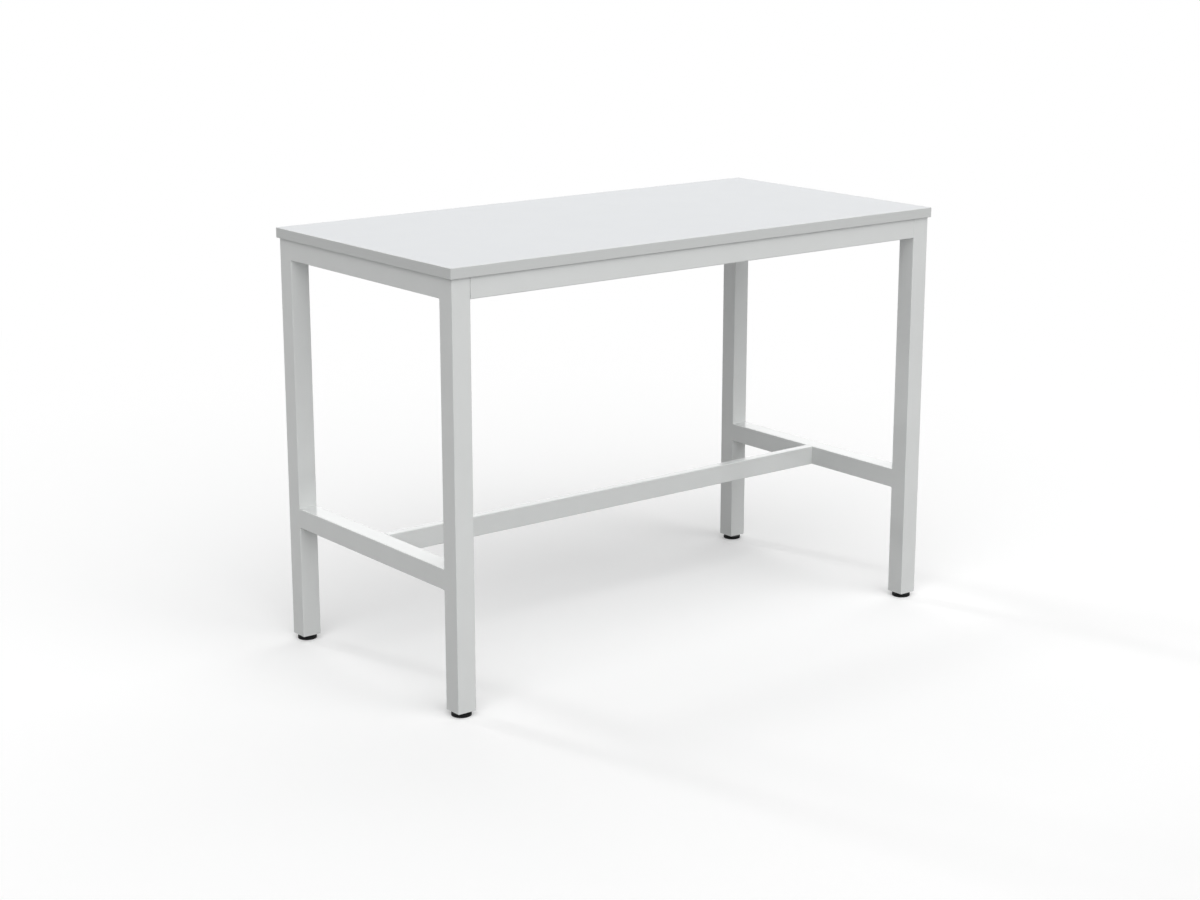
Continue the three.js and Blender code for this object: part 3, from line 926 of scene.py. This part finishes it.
def stud_mesh(name, low, high, collar_bottom, sizes):
    """Foot stud about Z from the floor up: button, neck, chamfered spanner collar and thread."""
    angles = even_angles(FASTENER_SIDES)
    easing = sizes.easing
    button = sizes.button_diameter / 2
    button_top = low.z + sizes.button_height
    major = sizes.stud_diameter / 2
    minor = major - THREAD_DEPTH * sizes.stud_pitch
    collar = hexagon(sizes.collar_width)
    face = sizes.collar_width / 2 - easing
    slope = math.tan(CHAMFER_ANGLE)
    collar_top = collar_bottom + sizes.collar_height
    rings = [
        ring(angles, button - easing, low.z),
        ring(angles, button, low.z + easing),
        ring(angles, button, button_top - easing),
        ring(angles, button - easing, button_top),
        ring(angles, major, button_top),
        ring(angles, major, collar_bottom),
        ring(angles, face, collar_bottom),
        ring(angles, collar, lambda turn: collar_bottom + (collar(turn) - face) * slope),
        ring(angles, collar, lambda turn: collar_top - (collar(turn) - face) * slope),
        ring(angles, face, collar_top),
        ring(angles, minor, collar_top),
    ]
    rings += thread(angles, collar_top + easing, high.z - sizes.stud_chamfer, sizes.stud_pitch,
                    major, minor)
    rings.append(ring(angles, minor - sizes.stud_chamfer / 2, high.z))
    return loft(name, rings)


def pad_mesh(name, low, high, sizes):
    """Moulded foot pad about Z: rounded rim, dished top and a snap socket under a lip."""
    angles = even_angles(PAD_SIDES)
    radius = (high.x - low.x) / 2
    top = high.z
    bend = sizes.pad_round
    easing = sizes.easing
    bore = sizes.stud_diameter / 2 + sizes.clearance
    socket = sizes.button_diameter / 2 + sizes.clearance
    socket_top = sizes.pad_floor + sizes.button_height + 2 * sizes.clearance
    rim = radius - sizes.pad_rim
    lip = bore + sizes.pad_lip
    dish = top - sizes.pad_dish
    groove = sizes.groove_diameter / 2
    half = sizes.groove_width / 2
    profile = [(groove - 2 * half, 0), (groove - half, sizes.groove_depth),
               (groove + half, sizes.groove_depth), (groove + 2 * half, 0)]
    profile += arc(radius - bend, bend, bend, bend, -QUARTER, ARRIS_STEPS)
    profile += arc(radius - sizes.pad_draft / 2 - bend, top - bend, bend, bend, 0, ARRIS_STEPS)
    profile += [(rim + easing, top), (rim, top - sizes.pad_rim_drop), (rim - sizes.pad_dish_slope, dish),
                (lip + bend, dish), (lip + easing, top - easing), (lip, top), (bore + easing, top),
                (bore, top - easing), (bore, socket_top), (socket, socket_top),
                (socket, sizes.pad_floor)]
    return loft(name, [ring(angles, r, z) for r, z in profile])


class TABLE_OT_feet(Operator):
    """Adds the leg plugs, and the screw feet that stand in them"""
    bl_idname = "table.feet"
    bl_label = "Screw feet"

    def execute(self, context):
        sizes = context.scene.table_feet
        collar_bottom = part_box(f"foot_pad_{CORNERS[0]}")[1].z + sizes.clearance
        stud = stud_mesh("foot_stud", *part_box(f"foot_stud_{CORNERS[0]}"), collar_bottom, sizes)
        pad = pad_mesh("foot_pad", *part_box(f"foot_pad_{CORNERS[0]}"), sizes)
        for corner in CORNERS:
            plug = eased_copy(f"coated_foot_plug_{corner}", f"foot_plug_{corner}", sizes.plug_easing)
            piece(plug, "white_powder_coat", replaced=[f"foot_plug_{corner}"], flat_faces=True)
            low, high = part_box(f"foot_pad_{corner}")
            at = (*((low + high) / 2).xy, 0)
            piece(stud, "zinc_steel", body=f"stud_{corner}", replaced=[f"foot_stud_{corner}"], at=at,
                  name=f"plated_foot_stud_{corner}")
            piece(pad, "black_nylon", body=f"pad_{corner}", replaced=[f"foot_pad_{corner}"], at=at,
                  name=f"moulded_foot_pad_{corner}")
        return {"FINISHED"}


# Stage

def studio_floor(sizes):
    """Floor material: white that keeps the table's shadow, going over to plain white further out."""
    made = bpy.data.materials.new("Studio floor")
    tree = new_tree(made)
    where = add(tree, "ShaderNodeTexCoord").outputs["Object"]
    away = add(tree, "ShaderNodeVectorMath", {FIRST: where}, operation="LENGTH")
    far = add(tree, "ShaderNodeMapRange", {
        "Value": away.outputs["Value"], "From Min": sizes.floor_near, "From Max": sizes.floor_far},
        interpolation_type="SMOOTHSTEP")
    lit = add(tree, "ShaderNodeBsdfDiffuse", {"Color": sizes.floor_tone})
    glow = add(tree, "ShaderNodeEmission", {"Color": WHITE, "Strength": sizes.floor_glow})
    near = add(tree, "ShaderNodeAddShader", {FIRST: lit.outputs["BSDF"], SECOND: glow.outputs["Emission"]})
    white = add(tree, "ShaderNodeEmission", {"Color": WHITE, "Strength": 1})
    shown = add(tree, "ShaderNodeMixShader", {
        "Fac": far.outputs["Result"], FROM_SHADER: near.outputs["Shader"],
        TO_SHADER: white.outputs["Emission"]})
    # Light that the table gets from the floor comes off a plain grey
    onto_table = add(tree, "ShaderNodeLightPath").outputs["Is Diffuse Ray"]
    bounce = add(tree, "ShaderNodeBsdfDiffuse", {"Color": sizes.floor_bounce})
    upper = add(tree, "ShaderNodeMixShader", {
        "Fac": onto_table, FROM_SHADER: shown.outputs["Shader"], TO_SHADER: bounce.outputs["BSDF"]})
    # Seen from below it is clear, so that the underside of the table can be looked at
    below = add(tree, "ShaderNodeNewGeometry").outputs["Backfacing"]
    clear = add(tree, "ShaderNodeBsdfTransparent")
    both = add(tree, "ShaderNodeMixShader", {
        "Fac": below, FROM_SHADER: upper.outputs["Shader"], TO_SHADER: clear.outputs["BSDF"]})
    add(tree, "ShaderNodeOutputMaterial", {"Surface": both.outputs["Shader"]})
    return made


def studio_world(sky):
    """White to the camera and in reflections, with a little even light from all round."""
    world = bpy.data.worlds.new("Studio")
    tree = new_tree(world)
    rays = add(tree, "ShaderNodeLightPath").outputs
    seen = add(tree, "ShaderNodeMath", {
        FIRST: rays["Is Camera Ray"], SECOND: rays["Is Glossy Ray"]}, operation="MAXIMUM")
    shown = add(tree, "ShaderNodeMath", {
        FIRST: seen.outputs["Value"], SECOND: rays["Is Transmission Ray"]}, operation="MAXIMUM")
    dim = add(tree, "ShaderNodeBackground", {"Color": WHITE, "Strength": sky})
    white = add(tree, "ShaderNodeBackground", {"Color": WHITE, "Strength": 1})
    both = add(tree, "ShaderNodeMixShader", {
        "Fac": shown.outputs["Value"], FROM_SHADER: dim.outputs["Background"],
        TO_SHADER: white.outputs["Background"]})
    add(tree, "ShaderNodeOutputWorld", {"Surface": both.outputs["Shader"]})
    return world


def towards(azimuth, elevation):
    """Direction from the table, by turn round it from the front and height above the horizon."""
    level = math.cos(elevation)
    return Vector((math.sin(azimuth) * level, -math.cos(azimuth) * level, math.sin(elevation)))


class TABLE_OT_stage(Operator):
    """Adds the floor, the lights, the world and the camera"""
    bl_idname = "table.stage"
    bl_label = "Stage"

    def floor(self, context):
        mesh = bpy.data.meshes.new("floor")
        corners = [(x * FLOOR_HALF, y * FLOOR_HALF, 0) for x, y in SQUARE_CORNERS]
        mesh.from_pydata(corners, [], [range(len(corners))])
        mesh.materials.append(studio_floor(context.scene.table_stage))
        made = bpy.data.objects.new("floor", mesh)
        made.location.z = -FLOOR_GAP
        context.scene.collection.objects.link(made)
        # It stays under the foot that is screwed out furthest
        for corner in CORNERS:
            under = made.constraints.new("FLOOR")
            under.target = frame["bodies"][f"pad_{corner}"]
            under.floor_location = "FLOOR_NEGATIVE_Z"
            under.offset = -FLOOR_GAP

    def lamp(self, context, name):
        sizes = context.scene.table_stage
        light = bpy.data.lights.new(name, "SUN")
        light.energy = getattr(sizes, f"{name}_strength")
        light.angle = getattr(sizes, f"{name}_spread")
        made = bpy.data.objects.new(name, light)
        source = towards(getattr(sizes, f"{name}_azimuth"), getattr(sizes, f"{name}_elevation"))
        made.location = source * sizes.distance
        made.rotation_euler = source.to_track_quat("Z", "Y").to_euler()
        made.visible_camera = False
        context.scene.collection.objects.link(made)

    def camera(self, context):
        sizes = context.scene.table_stage
        lens = bpy.data.cameras.new("camera")
        lens.lens = sizes.lens
        made = bpy.data.objects.new("camera", lens)
        back = towards(sizes.azimuth, sizes.elevation)
        made.location = Vector(sizes.target) + back * sizes.distance
        made.rotation_euler = back.to_track_quat("Z", "Y").to_euler()
        context.scene.collection.objects.link(made)
        context.scene.camera = made

    def execute(self, context):
        self.floor(context)
        for name in LAMPS:
            self.lamp(context, name)
        self.camera(context)
        context.scene.world = studio_world(context.scene.table_stage.sky)
        context.scene.view_settings.view_transform = "Standard"
        return {"FINISHED"}


class VIEW3D_PT_standing_table(Panel):
    """Lists the steps that dress the table"""
    bl_label = "Standing table"
    bl_space_type = "VIEW_3D"
    bl_region_type = "UI"
    bl_category = "Table"

    def draw(self, context):
        for step in STEPS:
            self.layout.operator(step.bl_idname)


STEPS = (TABLE_OT_worktop, TABLE_OT_end_frames, TABLE_OT_long_bars, TABLE_OT_welds, TABLE_OT_rail_joints,
         TABLE_OT_top_fixings, TABLE_OT_feet, TABLE_OT_stage)
SETTINGS = {
    "table_worktop": WorktopSettings,
    "table_frame": FrameSettings,
    "table_fixings": FixingSettings,
    "table_feet": FootSettings,
    "table_finish": FinishSettings,
    "table_stage": StageSettings,
}
CLASSES = (*SETTINGS.values(), *STEPS, VIEW3D_PT_standing_table)


def register():
    for each in CLASSES:
        bpy.utils.register_class(each)
    for name, group in SETTINGS.items():
        setattr(bpy.types.Scene, name, PointerProperty(type=group))


def unregister():
    for name in SETTINGS:
        delattr(bpy.types.Scene, name)
    for each in reversed(CLASSES):
        bpy.utils.unregister_class(each)


def main():
    register()
    for step in STEPS:
        group, name = step.bl_idname.split(".")
        getattr(getattr(bpy.ops, group), name)()


if __name__ == "__main__":
    main()
